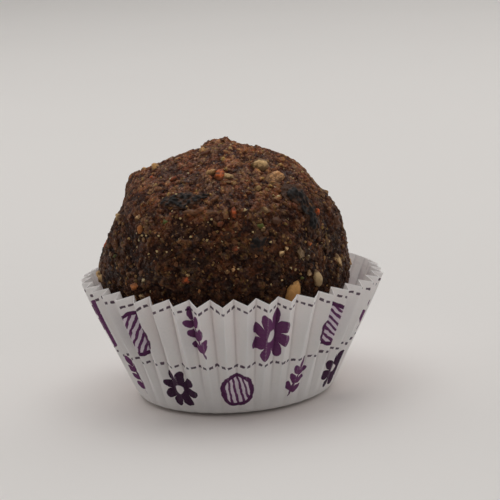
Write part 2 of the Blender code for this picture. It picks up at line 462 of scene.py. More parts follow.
# %% Build the mottle group
mottle, mottle_in, mottle_out = new_group(
    "mottle",
    (
        ("Place mm", "NodeSocketVector", None),
        ("Cell mm", "NodeSocketFloat", 1.0),
        ("Wobble mm", "NodeSocketFloat", 0.3),
    ),
    (("Chance", "NodeSocketFloat"), ("Other Chance", "NodeSocketFloat"), ("Middle", "NodeSocketFloat")),
)
wobble_noise = mottle.nodes.new("ShaderNodeTexNoise")
wobble_noise.inputs["Scale"].default_value = 1.3
wobble_noise.inputs["Detail"].default_value = 2.0
mottle.links.new(mottle_in["Place mm"], wobble_noise.inputs["Vector"])
swing = vector_calc(mottle, "SUBTRACT", wobble_noise.outputs["Color"], (0.5, 0.5, 0.5))
swing = vector_calc(mottle, "SCALE", swing, calc(mottle, "MULTIPLY", mottle_in["Wobble mm"], 3.0))
bent_place = vector_calc(mottle, "ADD", mottle_in["Place mm"], swing)
cell_place = vector_calc(mottle, "SCALE", bent_place, calc(mottle, "DIVIDE", 1.0, mottle_in["Cell mm"]))
cells = mottle.nodes.new("ShaderNodeTexVoronoi")
cells.feature = "F1"
cells.inputs["Scale"].default_value = 1.0
mottle.links.new(cell_place, cells.inputs["Vector"])
split = mottle.nodes.new("ShaderNodeSeparateColor")
mottle.links.new(cells.outputs["Color"], split.inputs["Color"])
mottle.links.new(split.outputs["Red"], mottle_out["Chance"])
mottle.links.new(split.outputs["Green"], mottle_out["Other Chance"])
mottle.links.new(cells.outputs["Distance"], mottle_out["Middle"])
print("mottle group has", len(mottle.nodes), "nodes")

# %% Colour the paste
paste, tree, shader = new_material("date_and_flax_paste", 0.55, Specular_IOR_Level=0.07, Coat_Roughness=0.22)
place = object_millimetres(tree)
crumb_fact = tree.nodes.new("ShaderNodeAttribute")
crumb_fact.attribute_name = "crumb"
crevice_fact = tree.nodes.new("ShaderNodeAttribute")
crevice_fact.attribute_name = "crevice"

PASTE_STOPS = (
    (0.0, (0.030, 0.010, 0.006)),
    (0.22, (0.082, 0.028, 0.013)),
    (0.5, (0.158, 0.066, 0.029)),
    (0.7, (0.202, 0.106, 0.055)),
    (0.88, (0.300, 0.162, 0.064)),
    (1.0, (0.450, 0.280, 0.105)),
)
CRUMB_SHARE = 0.45
RED_PATCH = (0.250, 0.075, 0.024)
GREY_PATCH = (0.085, 0.046, 0.032)
# The colour of the painted shade in the crevices
CREVICE_PAINTED_SHADE = (0.030, 0.010, 0.006)
small = use_group(tree, mottle, Place_mm=place, Cell_mm=0.5, Wobble_mm=0.3)
tiny = use_group(tree, mottle, Place_mm=place, Cell_mm=0.3, Wobble_mm=0.1)
by_crumb = calc(tree, "MULTIPLY", crumb_fact.outputs["Fac"], CRUMB_SHARE)
by_cell = calc(tree, "MULTIPLY", small["Chance"], 1.0 - CRUMB_SHARE)
chance = calc(tree, "ADD", by_crumb, by_cell)
colour = colour_steps(tree, chance, PASTE_STOPS)
HUE_STOPS = (
    (0.0, (0.76, 0.66, 0.96)),
    (0.3, (0.95, 0.92, 0.98)),
    (0.6, (1.15, 0.86, 0.78)),
    (0.85, (1.0, 1.08, 0.8)),
    (1.0, (1.2, 1.35, 0.75)),
)
hue = colour_steps(tree, small["Other Chance"], HUE_STOPS)
colour = mix_colour(tree, 1.0, colour, hue, "MULTIPLY")
# Red-brown and grey-violet patches a few millimetres across
patch = noise_value(tree, place, 0.28, detail=3.0, roughness=0.55)
colour = mix_colour(tree, ramp(tree, patch, 0.5, 0.68, 0.0, 0.5), colour, RED_PATCH)
colour = mix_colour(tree, ramp(tree, patch, 0.48, 0.34, 0.0, 0.45), colour, GREY_PATCH)
# Specks of nut meal and flax: gold, tan and orange
few = ramp(tree, tiny["Chance"], 0.88, 0.92)
speck = calc(tree, "MULTIPLY", few, ramp(tree, tiny["Middle"], 0.5, 0.25))
SPECK_STOPS = (
    (0.0, (0.20, 0.10, 0.035)),
    (0.35, (0.33, 0.19, 0.07)),
    (0.6, (0.30, 0.11, 0.03)),
    (0.85, (0.42, 0.30, 0.16)),
)
speck_colour = colour_steps(tree, tiny["Other Chance"], SPECK_STOPS, smooth=False)
colour = mix_colour(tree, calc(tree, "MULTIPLY", speck, 0.8), colour, speck_colour)
# Painted shade: the crevices are darkened as if shade fell in them, on top of their real depth
painted_crevice_shade = calc(tree, "MULTIPLY", crevice_fact.outputs["Fac"], 0.6)
colour = mix_colour(tree, painted_crevice_shade, colour, CREVICE_PAINTED_SHADE)
# Painted light: the top is painted paler and the lower ball darker, as light from above falls on it, and
# random patches vary the tone
heights = tree.nodes.new("ShaderNodeSeparateXYZ")
tree.links.new(place, heights.inputs["Vector"])
fine = noise_value(tree, place, 3.2, detail=3.0, roughness=0.7)
painted_top_light_and_patches = ramp(tree, heights.outputs["Z"], 27.0, 40.0, 0.58, 1.7)
painted_top_light_and_patches = calc(tree, "MULTIPLY", painted_top_light_and_patches, ramp(tree, fine, 0.32, 0.68, 0.62, 1.42))
colour = vector_calc(tree, "SCALE", colour, painted_top_light_and_patches)
tree.links.new(colour, shader.inputs["Base Color"])

moist = ramp(tree, small["Other Chance"], 0.2, 0.9, 0.68, 0.36)
tree.links.new(moist, shader.inputs["Roughness"])
bump = tree.nodes.new("ShaderNodeBump")
bump.inputs["Strength"].default_value = 0.9
bump.inputs["Distance"].default_value = 0.28 * MM
lumps = calc(tree, "MULTIPLY", small["Middle"], -0.7)
rise = calc(tree, "ADD", lumps, calc(tree, "MULTIPLY", tiny["Middle"], -0.5))
rise = calc(tree, "ADD", rise, calc(tree, "MULTIPLY", noise_value(tree, place, 3.5), 0.8))
# Date paste is sticky, so some crumbs have a wet shine
sticky = ramp(tree, tiny["Other Chance"], 0.35, 0.7)
wet = calc(tree, "MULTIPLY", sticky, ramp(tree, fine, 0.4, 0.6, 0.1, 0.45))
tree.links.new(wet, shader.inputs["Coat Weight"])
tree.links.new(rise, bump.inputs["Height"])
tree.links.new(bump.outputs["Normal"], shader.inputs["Normal"])
laddu.data.materials.append(paste)
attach(laddu, "root")
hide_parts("laddu")
print("paste material has", len(tree.nodes), "nodes")

# %% [markdown]
# Chopped nuts are sharp-edged, because a knife made them, while bits of dried fruit are soft lumps. A
# chip is modelled once as a ball with slices cut off, its edges then bevelled. Each chip on the laddu
# is a copy of one of these, sunk past its middle and laid along the surface.

# %% Model the chips to copy
CHIP_CUTS = 7
FRUIT_LUMP = 0.16
SKIN_LUMP = 0.24
GRAIN_LUMP = 0.35
PATTERN_SEED = 3
CUT_EDGE_ANGLE = 22.0


def start_ball(name, subdivisions):
    """A ball one unit across, in edit mode with all of it selected."""
    deselect_all()
    bpy.ops.mesh.primitive_ico_sphere_add(subdivisions=subdivisions, radius=0.5, location=(0.0, 0.0, 0.0))
    ball = bpy.context.object
    ball.name = name
    bpy.ops.object.mode_set(mode="EDIT")
    bpy.ops.mesh.select_all(action="SELECT")
    return ball


def take_pattern(item):
    """The points and triangles of a finished pattern, whose object is then removed."""
    bpy.ops.object.mode_set(mode="EDIT")
    bpy.ops.mesh.select_all(action="SELECT")
    bpy.ops.mesh.quads_convert_to_tris()
    bpy.ops.object.mode_set(mode="OBJECT")
    points = [vertex.co.copy() for vertex in item.data.vertices]
    triangles = [tuple(face.vertices) for face in item.data.polygons]
    bpy.data.objects.remove(item)
    return points, triangles


def nut_pattern(chance):
    """A chip with flat cut faces."""
    chip = start_ball("nut_chip", 3)
    for _ in range(CHIP_CUTS):
        facing = Vector([chance.uniform(-1.0, 1.0) for _ in range(3)]).normalized()
        bpy.ops.mesh.select_all(action="SELECT")
        bpy.ops.mesh.bisect(
            plane_co=facing * chance.uniform(0.27, 0.42),
            plane_no=facing,
            use_fill=True,
            clear_outer=True,
        )
    bpy.ops.mesh.select_all(action="DESELECT")
    bpy.ops.mesh.edges_select_sharp(sharpness=math.radians(CUT_EDGE_ANGLE))
    bpy.ops.mesh.bevel(offset=0.03, segments=2)
    bpy.ops.object.mode_set(mode="OBJECT")
    shift = Vector([chance.uniform(-9.0, 9.0) for _ in range(3)])
    for vertex in chip.data.vertices:
        vertex.co *= 1.0 + 0.22 * noise.noise(vertex.co * 2.4 + shift)
    return take_pattern(chip)


def almond_pattern():
    """A drop shape, pointed at one end."""
    drop = start_ball("almond_tip", 4)
    bpy.ops.object.mode_set(mode="OBJECT")
    for vertex in drop.data.vertices:
        taper = 1.0 - 0.75 * max(0.0, vertex.co.x) ** 1.3
        vertex.co.y *= taper
        vertex.co.z *= taper
        vertex.co *= 1.0 + 0.07 * noise.noise(vertex.co * 3.0)
    return take_pattern(drop)


def lump_pattern(chance, subdivisions, lump):
    """A soft lump."""
    fruit = start_ball("lump", subdivisions)
    bpy.ops.object.mode_set(mode="OBJECT")
    shift = Vector([chance.uniform(-9.0, 9.0) for _ in range(3)])
    for vertex in fruit.data.vertices:
        swell = 2.0 * lump * noise.noise(vertex.co * 3.0 + shift)
        vertex.co *= 1.0 + swell + lump * noise.noise(vertex.co * 7.0 - shift)
    return take_pattern(fruit)


pattern_chance = random.Random(PATTERN_SEED)
NUT_PATTERNS = [nut_pattern(pattern_chance) for _ in range(5)]
ALMOND_PATTERNS = [almond_pattern()]
FRUIT_PATTERNS = [lump_pattern(pattern_chance, 3, FRUIT_LUMP) for _ in range(3)]
SKIN_PATTERNS = [lump_pattern(pattern_chance, 5, SKIN_LUMP) for _ in range(3)]
GRAIN_PATTERNS = [lump_pattern(pattern_chance, 1, GRAIN_LUMP) for _ in range(6)]
print("patterns:", len(NUT_PATTERNS), "nut,", len(FRUIT_PATTERNS), "fruit,", len(GRAIN_PATTERNS), "grain")

# %% List the chips
# Each chip: azimuth, elevation, length and width in mm, spin in degrees, and tint from dark to light
NUT_CHIPS = (
    (47.0, 49.7, 5.2, 3.2, 8.0, 0.55),
    (46.9, 60.5, 5.0, 3.4, -15.0, 0.3),
    (8.1, 54.6, 2.2, 1.8, -20.0, 0.78),
    (36.3, 11.1, 2.4, 1.6, 85.0, 0.66),
    (25.8, 45.5, 1.5, 1.2, 0.0, 0.4),
    (-64.2, 29.5, 1.9, 1.5, 70.0, 0.75),
    (-46.6, 31.3, 0.9, 0.8, 0.0, 0.6),
    (-5.7, 58.2, 2.0, 1.6, 20.0, 0.45),
    (3.7, 8.8, 0.8, 0.6, 0.0, 0.5),
    (0.9, 8.4, 0.7, 0.5, 40.0, 0.5),
    (26.8, 13.3, 1.5, 0.9, 10.0, 0.3),
    (29.0, 15.0, 0.9, 0.7, 60.0, 0.25),
    (-44.8, -5.1, 1.6, 1.2, 30.0, 0.6),
    (-39.8, -3.5, 1.4, 1.1, 0.0, 0.7),
    (23.7, 33.0, 2.0, 1.3, -10.0, 0.1),
    (20.1, 24.7, 1.0, 0.9, 0.0, 0.35),
    (39.6, 2.3, 1.4, 1.0, 30.0, 0.2),
    (58.2, 12.7, 1.6, 0.9, 80.0, 0.2),
    (76.9, 14.0, 1.4, 1.0, 60.0, 0.4),
    (52.0, 22.0, 1.3, 0.8, 70.0, 0.15),
    (-16.3, 7.3, 0.9, 0.7, 20.0, 0.8),
)
ALMOND_CHIPS = (
    (30.2, -4.2, 4.0, 2.3, 56.0, 0.97),
    (44.3, -1.0, 3.0, 1.9, 100.0, 0.65),
)
FRUIT_CHIPS = (
    (1.6, 56.6, 2.8, 2.0, 70.0, 0.85),
    (-17.1, 5.3, 1.5, 1.2, 20.0, 0.7),
    (-43.7, 26.2, 1.6, 1.3, 75.0, 0.97),
    (-44.0, 0.5, 1.7, 1.3, 20.0, 0.95),
    (-56.7, 51.3, 1.6, 1.1, 0.0, 0.72),
    (-37.6, 54.0, 1.4, 1.0, 40.0, 0.62),
    (6.6, 33.5, 1.9, 1.0, 80.0, 0.7),
    (-0.6, 28.9, 1.1, 0.8, 40.0, 0.55),
    (-26.8, 32.5, 1.5, 0.9, 80.0, 0.5),
    (5.8, 17.9, 1.2, 1.0, 0.0, 0.6),
    (43.8, 14.8, 1.1, 0.8, 20.0, 0.9),
    (56.0, 26.8, 1.2, 0.9, 60.0, 0.75),
    (-20.0, 74.3, 1.6, 1.1, 20.0, 0.6),
    (-16.1, 34.9, 2.6, 1.1, -4.0, 0.37),
    (-11.0, 35.6, 2.2, 1.2, 10.0, 0.42),
    (-5.5, 34.3, 1.7, 1.0, -10.0, 0.36),
    (28.0, 27.7, 1.7, 1.2, 0.0, 0.1),
    (-3.0, 41.0, 1.8, 1.0, 30.0, 0.4),
    (-156.0, 76.5, 2.0, 1.3, 10.0, 0.2),
)
GREEN_BITS = (
    (-29.2, 30.4, 1.1, 0.9, 0.0, 0.5),
    (19.0, 26.4, 1.3, 0.9, 0.0, 0.7),
    (47.9, 33.6, 0.9, 0.7, 60.0, 0.9),
    (-60.0, 12.0, 0.8, 0.6, 10.0, 0.4),
    (35.0, 1.0, 0.7, 0.5, 10.0, 0.5),
    (150.0, 40.0, 1.2, 0.8, 10.0, 0.6),
    (-120.0, 20.0, 0.9, 0.7, 10.0, 0.5),
)
SKIN_FLAKES = (
    (-32.0, 40.0, 3.6, 1.8, 10.0, 0.5),
    (-25.5, 40.2, 4.8, 2.4, -8.0, 0.3),
    (-22.5, 44.0, 3.6, 1.6, 6.0, 0.6),
    (-18.0, 42.0, 4.6, 2.6, 16.0, 0.4),
    (-12.0, 43.0, 2.6, 1.4, 10.0, 0.5),
    (45.5, 37.5, 4.6, 3.8, 60.0, 0.4),
    (48.5, 31.5, 5.0, 3.7, 100.0, 0.5),
    (50.0, 24.8, 4.8, 3.2, 84.0, 0.3),
    (15.5, 19.1, 3.6, 2.8, 80.0, 0.5),
    (2.0, 24.0, 1.6, 1.1, 10.0, 0.6),
    (136.0, 35.0, 4.6, 2.0, 30.0, 0.5),
    (-140.0, 30.0, 5.0, 1.8, -20.0, 0.4),
    (172.0, 50.0, 3.6, 1.6, 60.0, 0.5),
    (-92.0, 8.0, 3.4, 1.6, 80.0, 0.6),
)
# Single pale crumbs that catch the light: azimuth and elevation
PALE_CRUMBS = (
    (-41.3, 23.3),
    (-38.4, 23.5),
    (-31.1, 23.8),
    (-35.8, 15.7),
    (-31.1, 17.1),
    (-25.9, 17.1),
    (-14.7, 23.7),
    (-20.7, 31.9),
    (-4.7, 31.0),
    (21.0, 50.8),
    (51.5, 23.4),
    (14.5, 24.0),
    (21.8, 18.7),
    (24.8, 2.0),
    (6.0, 9.0),
    (8.0, 81.0),
    (-28.0, 44.5),
    (33.0, 40.0),
)
CHIP_SEED = 7
TINT_SEED = 5
CHIPS_ROUND_THE_REST = 26
LOWEST_CHIP_ELEVATION = -8.0
HIGHEST_CHIP_ELEVATION = 78.0
LONGEST_CHIP = 3.4
SHORTEST_CHIP = 1.6
CHIP_WIDTH_SHARES = (0.55, 0.85)
CHIP_SPACING_DEGREES = 13.0
FRONT_HALF_ANGLE = 62.0
FRONT_TOP_ELEVATION = 75.0
GOLDEN_ANGLE = 137.508
# The chips of the plain model, which keep the others off
FRONT_CHIP_PLACES = (
    (44.1, 49.3),
    (40.6, 58.7),
    (31.4, -4.9),
    (46.3, -2.0),
    (2.2, 54.6),
    (8.1, 53.6),
    (37.6, 11.0),
    (26.0, 44.3),
    (-17.1, 7.4),
    (-41.5, -4.4),
    (-64.4, 29.3),
    (-43.9, 27.1),
    (8.3, 18.3),
    (6.6, 34.7),
)


def chips_round_the_rest(chance):
    """Chips spread evenly where the view from the front doesn't reach, the largest first."""
    chips = []
    step = 0
    while len(chips) < CHIPS_ROUND_THE_REST:
        step += 1
        azimuth = (step * GOLDEN_ANGLE) % 360.0 - 180.0
        elevation = chance.uniform(LOWEST_CHIP_ELEVATION, HIGHEST_CHIP_ELEVATION)
        shown = abs(azimuth) < FRONT_HALF_ANGLE and elevation < FRONT_TOP_ELEVATION
        towards = direction_of(azimuth, elevation)
        others = FRONT_CHIP_PLACES + tuple(chip[:2] for chip in chips)
        near = min(math.degrees(towards.angle(direction_of(*other))) for other in others)
        if shown or near < CHIP_SPACING_DEGREES:
            continue
        length = LONGEST_CHIP - (LONGEST_CHIP - SHORTEST_CHIP) * len(chips) / CHIPS_ROUND_THE_REST
        width = length * chance.uniform(*CHIP_WIDTH_SHARES)
        chips.append((azimuth, elevation, length, width, chance.uniform(0.0, 180.0)))
    return chips


tint_chance = random.Random(TINT_SEED)
rest = chips_round_the_rest(random.Random(CHIP_SEED))
nut_chips = list(NUT_CHIPS) + [(*chip, tint_chance.random()) for chip in rest[0::2] + rest[3::4]]
fruit_chips = list(FRUIT_CHIPS) + [(*chip, tint_chance.random()) for chip in rest[1::4]]
print(len(nut_chips), "nut chips,", len(fruit_chips), "bits of fruit,", len(SKIN_FLAKES), "flakes of skin")

# %% Lay the chips on the ball
NUT_SUNK = 0.25
ALMOND_SUNK = 0.12
PALE_SUNK = -0.05
FRUIT_SUNK = 0.28
SKIN_SUNK = 0.26
PALE_LENGTH = 0.44
PALE_WIDTH = 0.36
RAGGED_LENGTH = 0.55 * MM
SMEARED_SHARE = 0.3


def lay_on(pattern, azimuth, elevation, length, width, spin, thickness, sunk, ragged):
    """The pattern's points laid along the surface, and how near each is to the paste, from 0 to 1."""
    towards = direction_of(azimuth, elevation)
    turned = towards.to_track_quat("Z", "Y").to_matrix() @ Matrix.Rotation(math.radians(spin), 3, "Z")
    along = turned @ Vector((1.0, 0.0, 0.0))
    across = turned @ Vector((0.0, 1.0, 0.0))
    laid = []
    nearness = []
    for point in pattern[0]:
        sideways = along * (point.x * length * MM) + across * (point.y * width * MM)
        direction = (towards * LADDU_RADIUS + sideways).normalized()
        rough = ragged * MM * noise.noise(direction * (LADDU_RADIUS / RAGGED_LENGTH))
        height = (point.z - sunk) * thickness * MM + rough
        laid.append(LADDU_CENTRE + direction * (laddu_radius(direction) + height))
        nearness.append(1.0 - smooth_step(height / (SMEARED_SHARE * thickness * MM)))
    return laid, nearness


def join_copies(name, copies):
    """One object from (points, nearness to the paste, triangles, tint) of each copy."""
    points = []
    triangles = []
    tints = []
    nearness = []
    for copy_points, copy_nearness, copy_triangles, tint in copies:
        start = len(points)
        points.extend(copy_points)
        triangles.extend(tuple(corner + start for corner in triangle) for triangle in copy_triangles)
        tints.extend([tint] * len(copy_points))
        nearness.extend(copy_nearness)
    mesh = bpy.data.meshes.new(name)
    mesh.from_pydata(points, [], triangles)
    tint_layer = mesh.attributes.new("tint", "FLOAT", "POINT")
    tint_layer.data.foreach_set("value", tints)
    near_layer = mesh.attributes.new("near_paste", "FLOAT", "POINT")
    near_layer.data.foreach_set("value", nearness)
    made = bpy.data.objects.new(name, mesh)
    SCENE.collection.objects.link(made)
    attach(made, "root")
    return made


def copies_of(patterns, chips, thickness_share, sunk, ragged):
    copies = []
    for number, (azimuth, elevation, length, width, spin, tint) in enumerate(chips):
        pattern = patterns[number % len(patterns)]
        thickness = width * thickness_share
        laid, near = lay_on(pattern, azimuth, elevation, length, width, spin, thickness, sunk, ragged)
        copies.append((laid, near, pattern[1], tint))
    return copies


def smooth_by_angle(item, degrees):
    select_only(item)
    bpy.ops.object.shade_smooth_by_angle(angle=math.radians(degrees))


cut_nuts = copies_of(NUT_PATTERNS, nut_chips, 0.9, NUT_SUNK, 0.34)
almonds = copies_of(ALMOND_PATTERNS, ALMOND_CHIPS, 0.85, ALMOND_SUNK, 0.1)
pale_places = [(*place, PALE_LENGTH, PALE_WIDTH, 0.0, 1.0) for place in PALE_CRUMBS]
pale_crumbs = copies_of(GRAIN_PATTERNS, pale_places, 0.9, PALE_SUNK, 0.0)
nuts = join_copies("nut_chips", cut_nuts + almonds + pale_crumbs)
smooth_by_angle(nuts, 28.0)
fruit = join_copies("fruit_bits", copies_of(FRUIT_PATTERNS, fruit_chips, 0.8, FRUIT_SUNK, 0.3))
smooth_by_angle(fruit, 80.0)
greens = join_copies("green_bits", copies_of(FRUIT_PATTERNS, GREEN_BITS, 0.8, FRUIT_SUNK, 0.3))
smooth_by_angle(greens, 60.0)
skins = join_copies("skin_flakes", copies_of(SKIN_PATTERNS, SKIN_FLAKES, 0.34, SKIN_SUNK, 0.26))
smooth_by_angle(skins, 80.0)
print("chip triangles:", sum(len(item.data.polygons) for item in (nuts, fruit, greens, skins)))

# %% [markdown]
# The paste is full of meal: light grains of nut, and brown flat hulls of ground flax. Thousands of
# copies of a few small lumps are joined into one mesh per kind. Their places come from a seeded
# chance, so the laddu is the same each time.

# %% Scatter the meal
MEAL_SEED = 21
LIGHT_GRAINS = 1300
FLAX_HULLS = 1500
LOWEST_GRAIN_ELEVATION = -13.0
MOSTLY_SMALL = 2.2
GRAIN_TILT = 0.35


def scatter(count, seed, longest, shortest, width_share, thickness_share, sunk):
    """Copies of the grains at chance places on the ball, more of them small than large."""
    chance = random.Random(seed)
    lowest = math.sin(math.radians(LOWEST_GRAIN_ELEVATION))
    copies = []
    for number in range(count):
        azimuth = chance.uniform(-180.0, 180.0)
        elevation = math.degrees(math.asin(chance.uniform(lowest, 1.0)))
        length = shortest + (longest - shortest) * chance.random() ** MOSTLY_SMALL
        width = length * chance.uniform(width_share, 1.0)
        thickness = width * thickness_share
        towards = direction_of(azimuth, elevation)
        level = laddu_radius(towards) + crumbs(towards)[0]
        tilt = Vector([chance.uniform(-GRAIN_TILT, GRAIN_TILT) for _ in range(3)])
        turned = (towards + tilt).to_track_quat("Z", "Y").to_matrix()
        turned = turned @ Matrix.Rotation(chance.uniform(0.0, 2.0 * math.pi), 3, "Z")
        centre = LADDU_CENTRE + towards * (level - sunk * thickness * MM)
        size = Matrix.Diagonal((length * MM, width * MM, thickness * MM))
        pattern = GRAIN_PATTERNS[number % len(GRAIN_PATTERNS)]
        laid = [centre + turned @ (size @ point) for point in pattern[0]]
        copies.append((laid, [0.0] * len(laid), pattern[1], chance.random()))
    return copies


meal = join_copies("nut_meal", scatter(LIGHT_GRAINS, MEAL_SEED, 0.9, 0.24, 0.6, 0.75, 0.32))
hulls = join_copies("flax_hulls", scatter(FLAX_HULLS, MEAL_SEED + 1, 1.1, 0.4, 0.5, 0.35, 0.3))
print("meal triangles:", len(meal.data.polygons) + len(hulls.data.polygons))

# %% Colour the chips and the meal
NUT_STOPS = (
    (0.0, (0.24, 0.13, 0.055)),
    (0.3, (0.82, 0.54, 0.26)),
    (0.42, (0.42, 0.25, 0.10)),
    (0.55, (0.88, 0.48, 0.22)),
    (0.65, (0.56, 0.40, 0.21)),
    (0.78, (0.72, 0.48, 0.23)),
    (0.98, (0.70, 0.36, 0.115)),
    (1.0, (0.58, 0.42, 0.20)),
)
FRUIT_STOPS = (
    (0.0, (0.09, 0.03, 0.015)),
    (0.35, (0.19, 0.085, 0.036)),
    (0.6, (0.26, 0.062, 0.022)),
    (0.8, (0.70, 0.12, 0.018)),
    (1.0, (0.40, 0.17, 0.05)),
)
GREEN_STOPS = ((0.0, (0.05, 0.065, 0.015)), (1.0, (0.14, 0.15, 0.03)))
SKIN_STOPS = ((0.0, (0.008, 0.007, 0.007)), (1.0, (0.018, 0.012, 0.010)))
MEAL_STOPS = (
    (0.0, (0.17, 0.075, 0.030)),
    (0.35, (0.26, 0.14, 0.05)),
    (0.55, (0.42, 0.26, 0.09)),
    (0.7, (0.34, 0.12, 0.04)),
    (0.85, (0.50, 0.34, 0.14)),
    (1.0, (0.68, 0.56, 0.34)),
)
HULL_STOPS = (
    (0.0, (0.025, 0.010, 0.005)),
    (0.4, (0.11, 0.038, 0.014)),
    (0.7, (0.18, 0.075, 0.030)),
    (1.0, (0.28, 0.155, 0.060)),
)
UNEVEN_GREY = (0.62, 0.60, 0.58)
PASTE_STAIN = (0.085, 0.036, 0.018)


def bit_material(name, stops, roughness, stain, grain_mm, shine=0.2):
    """A material for chips: a tint for each, uneven across it and stained by the paste."""
    material, tree, shader = new_material(name, roughness, Specular_IOR_Level=shine)
    tint = tree.nodes.new("ShaderNodeAttribute")
    tint.attribute_name = "tint"
    place = object_millimetres(tree)
    colour = colour_steps(tree, tint.outputs["Fac"], stops)
    cells = use_group(tree, mottle, Place_mm=place, Cell_mm=grain_mm, Wobble_mm=0.15)
    uneven = ramp(tree, cells["Chance"], 0.1, 0.9, 0.0, 0.4)
    colour = mix_colour(tree, uneven, colour, UNEVEN_GREY, "MULTIPLY")
    smear = noise_value(tree, place, 1.3, detail=4.0, roughness=0.65)
    near = tree.nodes.new("ShaderNodeAttribute")
    near.attribute_name = "near_paste"
    smear = calc(tree, "ADD", smear, calc(tree, "MULTIPLY", near.outputs["Fac"], 0.3))
    stained = ramp(tree, smear, 0.55, 0.8, 0.0, stain)
    stained = calc(tree, "MULTIPLY", stained, ramp(tree, tint.outputs["Fac"], 0.9, 1.0, 1.0, 0.3))
    colour = mix_colour(tree, stained, colour, PASTE_STAIN)
    tree.links.new(colour, shader.inputs["Base Color"])
    bump = tree.nodes.new("ShaderNodeBump")
    bump.inputs["Strength"].default_value = 0.5
    bump.inputs["Distance"].default_value = 0.06 * MM
    tree.links.new(noise_value(tree, place, 5.0), bump.inputs["Height"])
    tree.links.new(bump.outputs["Normal"], shader.inputs["Normal"])
    return material


nuts.data.materials.append(bit_material("nut_flesh", NUT_STOPS, 0.5, 0.8, 0.5))
fruit.data.materials.append(bit_material("dried_fruit", FRUIT_STOPS, 0.42, 0.8, 0.6))
greens.data.materials.append(bit_material("green_seed", GREEN_STOPS, 0.5, 0.3, 0.4))
skins.data.materials.append(bit_material("date_skin", SKIN_STOPS, 0.4, 0.8, 0.6, 0.13))
meal.data.materials.append(bit_material("meal_grain", MEAL_STOPS, 0.5, 0.3, 0.3))
hulls.data.materials.append(bit_material("flax_hull", HULL_STOPS, 0.45, 0.3, 0.4))
print("bit materials made")

# %% [markdown]
# The case is one flat disc of thin paper, pleated all round. So it is made as one flat disc. Its print
# is laid out while it is flat, as on the real sheet, and only then is the wall folded up. The disc
# starts as a circle whose edge is drawn outwards, ring by ring.

# %% Draw the flat disc of paper
FLUTES = 42
CASE_BASE_RADIUS = 16.4 * MM
CASE_RIM_RADIUS = 25.0 * MM
PAPER_SLANT = 21.0 * MM
PAPER_THICKNESS = 0.09 * MM
RIM_SHIFT_X = 0.44 * MM
RIM_LEAN_X = -0.028
RIM_LEAN_Y = -0.036
RIM_FLUTE_DEPTH = 1.95 * MM
FOLD_SEED = 11
FOLD_SLIP = 0.07
FOLD_PULL = 0.22 * MM
COLUMNS_PER_FLUTE = 16
FIRST_RING = 8.0 * MM
BASE_RINGS = 5
FOLD_START = 15.0 * MM
WALL_RINGS = 44
SHEET_RADIUS = CASE_BASE_RADIUS + PAPER_SLANT
SHEET_SPAN = 80.0 * MM

rings = [FIRST_RING + (FOLD_START - FIRST_RING) * step / BASE_RINGS for step in range(1, BASE_RINGS + 1)]
rings += [FOLD_START + (SHEET_RADIUS - FOLD_START) * step / WALL_RINGS for step in range(1, WALL_RINGS + 1)]
deselect_all()
bpy.ops.mesh.primitive_circle_add(vertices=FLUTES * COLUMNS_PER_FLUTE, radius=FIRST_RING, fill_type="NGON")
case = bpy.context.object
case.name = "pleated_case"
bpy.ops.object.mode_set(mode="EDIT")
bpy.ops.mesh.select_mode(type="EDGE")
bpy.ops.mesh.select_all(action="SELECT")
bpy.ops.mesh.region_to_loop()
reached = FIRST_RING
for ring in rings:
    bpy.ops.mesh.extrude_edges_move(TRANSFORM_OT_translate={"value": (0.0, 0.0, 0.0)})
    bpy.ops.transform.resize(value=(ring / reached, ring / reached, 1.0))
    reached = ring
bpy.ops.object.mode_set(mode="OBJECT")

flat_sheet = case.data.uv_layers.new(name="flat_sheet")
for loop in case.data.loops:
    spot = case.data.vertices[loop.vertex_index].co
    flat_sheet.data[loop.index].uv = (spot.x / SHEET_SPAN + 0.5, spot.y / SHEET_SPAN + 0.5)
print("flat disc:", len(case.data.vertices), "points, radius", round(case.dimensions.x / 2 / MM, 2), "mm")

# %% [markdown]
# A ring of the flat disc is longer round than the wall it becomes. The spare length goes into flutes,
# so their depth follows from the sum: none at the base, and nearly 2 mm at the rim. The press squeezes
# the lower folds flat, so they are shallower than that. Each pleat of a real case strays a little, so
# every fold has its own small slip.

# %% Pleat the wall
BASE_EDGE_ROUNDING = 0.8 * MM
RIDGE_BREADTH_AT_BASE = 1.7
RIDGE_BREADTH_AT_RIM = 1.3
PRESSED_FLAT = 0.35
PRESSED_UP_TO = 0.8
CREST = 0.1
CREST_SHARE = 0.3
BEND_START = 4.0 * BASE_EDGE_ROUNDING
BEND_SPAN = 3.0 * BASE_EDGE_ROUNDING

fold_chance = random.Random(FOLD_SEED)
FOLDS = [
    (fold_chance.uniform(-FOLD_SLIP, FOLD_SLIP), fold_chance.uniform(-FOLD_PULL, FOLD_PULL))
    for _ in range(2 * FLUTES)
]


def flute_phase(turn, share):
    """0 in a flute's sharp groove and 1 on its broad ridge, half a flute on."""
    breadth = RIDGE_BREADTH_AT_BASE + (RIDGE_BREADTH_AT_RIM - RIDGE_BREADTH_AT_BASE) * share
    off_ridge = abs(2.0 * (turn % 1.0) - 1.0)
    return (1.0 - off_ridge**breadth) * (1.0 - CREST) + CREST * max(0.0, 1.0 - off_ridge / CREST_SHARE)


def flute_depth(share, mean_radius):
    """The depth at which the folds use up the spare length of the flat disc."""
    flat_pitch = 2.0 * math.pi * (CASE_BASE_RADIUS + PAPER_SLANT * share) / FLUTES
    pitch = 2.0 * math.pi * mean_radius / FLUTES
    taken_up = min(RIM_FLUTE_DEPTH, 0.5 * math.sqrt(flat_pitch**2 - pitch**2))
    return taken_up * (PRESSED_FLAT + (1.0 - PRESSED_FLAT) * smooth_step(share / PRESSED_UP_TO))


